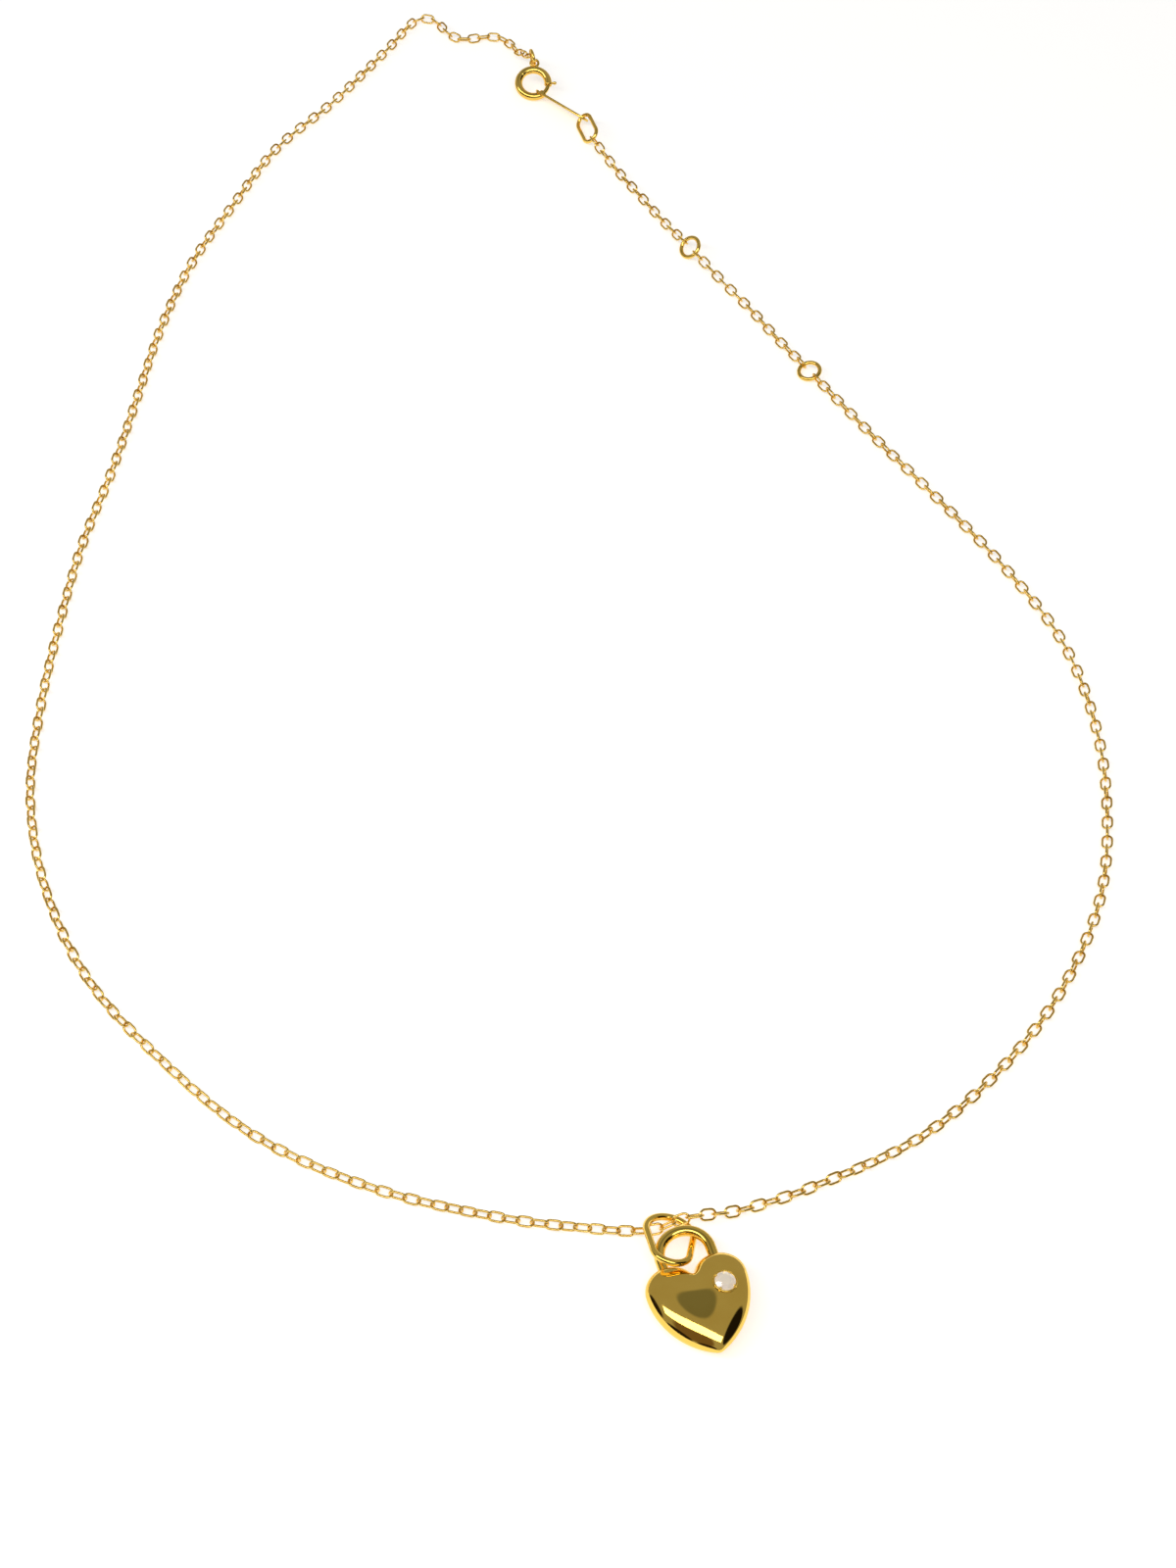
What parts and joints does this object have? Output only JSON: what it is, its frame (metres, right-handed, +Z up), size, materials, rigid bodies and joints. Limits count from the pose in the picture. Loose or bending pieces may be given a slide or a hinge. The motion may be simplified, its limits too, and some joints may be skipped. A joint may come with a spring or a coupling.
{
  "type": "pendant necklace",
  "caption": "Fine cable chain necklace with a puffed heart pendant set with a crystal, a looped bail, adjuster rings and a spring ring clasp.",
  "frame": {"origin": "On the table, under the middle of the necklace as it lies: the bottom centre of its bounding box.", "axes": "+Y from the pendant towards the clasp, +Z up from the table, +X to the right with the pendant nearest the viewer."},
  "size_m": [0.1142, 0.1947, 0.0043],
  "materials": {
    "chain_gold": "polished",
    "pendant_gold": "polished",
    "fittings_gold": "polished",
    "crystal": "polished",
    "spring_steel": "satin"
  },
  "bodies": {
    "chain_centre": {"chain_centre": "chain_gold"},
    "bail": {"bail": "pendant_gold"},
    "heart": {"heart_front_shell": "pendant_gold", "heart_back_shell": "pendant_gold", "shackle": "pendant_gold", "crystal": "crystal", "crystal_seat": "pendant_gold"},
    "chain_left_1": {"chain_left_1": "chain_gold"},
    "chain_left_2": {"chain_left_2": "chain_gold"},
    "chain_left_3": {"chain_left_3": "chain_gold"},
    "chain_left_4": {"chain_left_4": "chain_gold"},
    "chain_left_5": {"chain_left_5": "chain_gold"},
    "chain_left_6": {"chain_left_6": "chain_gold"},
    "chain_left_7": {"chain_left_7": "chain_gold"},
    "chain_left_8": {"chain_left_8": "chain_gold"},
    "chain_left_9": {"chain_left_9": "chain_gold"},
    "chain_left_10": {"chain_left_10": "chain_gold"},
    "chain_left_11": {"chain_left_11": "chain_gold"},
    "end_ring": {"end_ring": "fittings_gold"},
    "clasp": {"clasp_body": "fittings_gold", "clasp_eye": "fittings_gold", "clasp_spring": "spring_steel"},
    "bolt": {"clasp_bolt": "fittings_gold", "clasp_trigger": "fittings_gold"},
    "chain_right_1": {"chain_right_1": "chain_gold"},
    "chain_right_2": {"chain_right_2": "chain_gold"},
    "chain_right_3": {"chain_right_3": "chain_gold"},
    "chain_right_4": {"chain_right_4": "chain_gold"},
    "chain_right_5": {"chain_right_5": "chain_gold"},
    "chain_right_6": {"chain_right_6": "chain_gold"},
    "adjuster_ring_lower": {"adjuster_ring_lower": "fittings_gold"},
    "chain_between": {"chain_between": "chain_gold"},
    "adjuster_ring_upper": {"adjuster_ring_upper": "fittings_gold"},
    "chain_end": {"chain_end": "chain_gold"},
    "tag_ring": {"tag_ring": "fittings_gold"},
    "tag": {"clasp_tag": "fittings_gold"}
  },
  "joints": [
    {"name": "bail_swing", "type": "hinge", "parent": "chain_centre", "child": "bail", "pos_m": [0.01291, -0.08505, 0.00039], "axis": [-0.8524, -0.1329, -0.5057], "range_deg": [-3, 70]},
    {"name": "heart_slide_round_bail", "type": "hinge", "parent": "bail", "child": "heart", "pos_m": [0.0159, -0.08791, 0.00207], "axis": [-0.1386, -0.0746, 0.9875], "range_deg": [-3, 50]},
    {"name": "left_bend_1", "type": "hinge", "parent": "chain_centre", "child": "chain_left_1", "pos_m": [0.01228, -0.08494, 0.00051], "axis": [0, 0, 1], "range_deg": [0, 30]},
    {"name": "left_lift_2", "type": "hinge", "parent": "chain_left_1", "child": "chain_left_2", "pos_m": [-0.01046, -0.08458, 0.00063], "axis": [0.157, 0.9876, 0], "range_deg": [-30, 30]},
    {"name": "left_bend_3", "type": "hinge", "parent": "chain_left_2", "child": "chain_left_3", "pos_m": [-0.03133, -0.07591, 0.00061], "axis": [0, 0, -1], "range_deg": [-30, 0]},
    {"name": "left_lift_4", "type": "hinge", "parent": "chain_left_3", "child": "chain_left_4", "pos_m": [-0.04733, -0.05981, 0.00058], "axis": [-0.8483, -0.5295, 0], "range_deg": [-30, 30]},
    {"name": "left_bend_5", "type": "hinge", "parent": "chain_left_4", "child": "chain_left_5", "pos_m": [-0.05522, -0.03855, 0.00052], "axis": [0, 0, 1], "range_deg": [0, 30]},
    {"name": "left_lift_6", "type": "hinge", "parent": "chain_left_5", "child": "chain_left_6", "pos_m": [-0.05655, -0.01576, 0.00052], "axis": [0.9998, 0.0174, 0], "range_deg": [-30, 30]},
    {"name": "left_bend_7", "type": "hinge", "parent": "chain_left_6", "child": "chain_left_7", "pos_m": [-0.05544, 0.00704, 0.00052], "axis": [0, 0, -1], "range_deg": [-30, 0]},
    {"name": "left_lift_8", "type": "hinge", "parent": "chain_left_7", "child": "chain_left_8", "pos_m": [-0.05455, 0.02986, 0.00052], "axis": [-0.9974, 0.0724, 0], "range_deg": [-30, 30]},
    {"name": "left_bend_9", "type": "hinge", "parent": "chain_left_8", "child": "chain_left_9", "pos_m": [-0.05049, 0.05228, 0.00052], "axis": [0, 0, 1], "range_deg": [0, 30]},
    {"name": "left_lift_10", "type": "hinge", "parent": "chain_left_9", "child": "chain_left_10", "pos_m": [-0.04254, 0.07356, 0.00052], "axis": [0.8728, -0.488, 0], "range_deg": [-30, 30]},
    {"name": "left_bend_11", "type": "hinge", "parent": "chain_left_10", "child": "chain_left_11", "pos_m": [-0.03351, 0.09452, 0.00052], "axis": [0, 0, -1], "range_deg": [-30, 30]},
    {"name": "end_ring_swivel", "type": "hinge", "parent": "chain_left_11", "child": "end_ring", "pos_m": [-0.01675, 0.08848, 0.00251], "axis": [0.3439, -0.8978, -0.2751], "range_deg": [-2, 20]},
    {"name": "clasp_swivel", "type": "hinge", "parent": "end_ring", "child": "clasp", "pos_m": [-0.0162, 0.08686, 0.0027], "axis": [0.3393, -0.8455, -0.4124], "range_deg": [-2, 6]},
    {"name": "clasp_bolt_slide", "type": "hinge", "parent": "clasp", "child": "bolt", "pos_m": [-0.016, 0.0843, 0.00145], "axis": [0, -0.4384, 0.8988], "range_deg": [0, 42], "stiffness_Nm_per_rad": 0.0012, "springref_deg": -11.46},
    {"name": "right_bend_1", "type": "hinge", "parent": "chain_centre", "child": "chain_right_1", "pos_m": [0.03111, -0.07571, 0.00063], "axis": [0, 0, 1], "range_deg": [-30, 0]},
    {"name": "right_lift_2", "type": "hinge", "parent": "chain_right_1", "child": "chain_right_2", "pos_m": [0.04613, -0.06059, 0.00063], "axis": [0.8279, -0.5608, 0], "range_deg": [-30, 30]},
    {"name": "right_bend_3", "type": "hinge", "parent": "chain_right_2", "child": "chain_right_3", "pos_m": [0.055, -0.04112, 0.00061], "axis": [0, 0, -1], "range_deg": [0, 30]},
    {"name": "right_lift_4", "type": "hinge", "parent": "chain_right_3", "child": "chain_right_4", "pos_m": [0.05602, -0.01842, 0.0006], "axis": [-0.9927, -0.1204, 0], "range_deg": [-30, 30]},
    {"name": "right_bend_5", "type": "hinge", "parent": "chain_right_4", "child": "chain_right_5", "pos_m": [0.04936, 0.00183, 0.0006], "axis": [0, 0, 1], "range_deg": [-30, 30]},
    {"name": "right_lift_6", "type": "hinge", "parent": "chain_right_5", "child": "chain_right_6", "pos_m": [0.03639, 0.01895, 0.0006], "axis": [0.7666, 0.6422, 0], "range_deg": [-30, 30]},
    {"name": "lower_ring_turn", "type": "hinge", "parent": "chain_right_6", "child": "adjuster_ring_lower", "pos_m": [0.0221, 0.0363, 0.00072], "axis": [-0.2315, -0.1745, 0.957], "range_deg": [-40, 40]},
    {"name": "between_fold", "type": "hinge", "parent": "adjuster_ring_lower", "child": "chain_between", "pos_m": [0.02135, 0.0373, 0.00072], "axis": [-0.7643, -0.576, -0.2899], "range_deg": [-30, 30]},
    {"name": "upper_ring_turn", "type": "hinge", "parent": "chain_between", "child": "adjuster_ring_upper", "pos_m": [0.0064, 0.0558, 0.00115], "axis": [0.5647, 0.4255, -0.7071], "range_deg": [-40, 40]},
    {"name": "end_fold", "type": "hinge", "parent": "adjuster_ring_upper", "child": "chain_end", "pos_m": [0.00565, 0.0568, 0.00115], "axis": [0.5647, 0.4255, 0.7071], "range_deg": [-30, 30]},
    {"name": "tag_ring_swivel", "type": "hinge", "parent": "chain_end", "child": "tag_ring", "pos_m": [-0.0075, 0.075, 0.00112], "axis": [-0.6644, 0.7469, -0.0249], "range_deg": [-2, 20]},
    {"name": "tag_swivel", "type": "hinge", "parent": "tag_ring", "child": "tag", "pos_m": [-0.00918, 0.07888, 0.00112], "axis": [-0.7949, 0.6055, -0.0389], "range_deg": [-2, 18]}
  ]
}
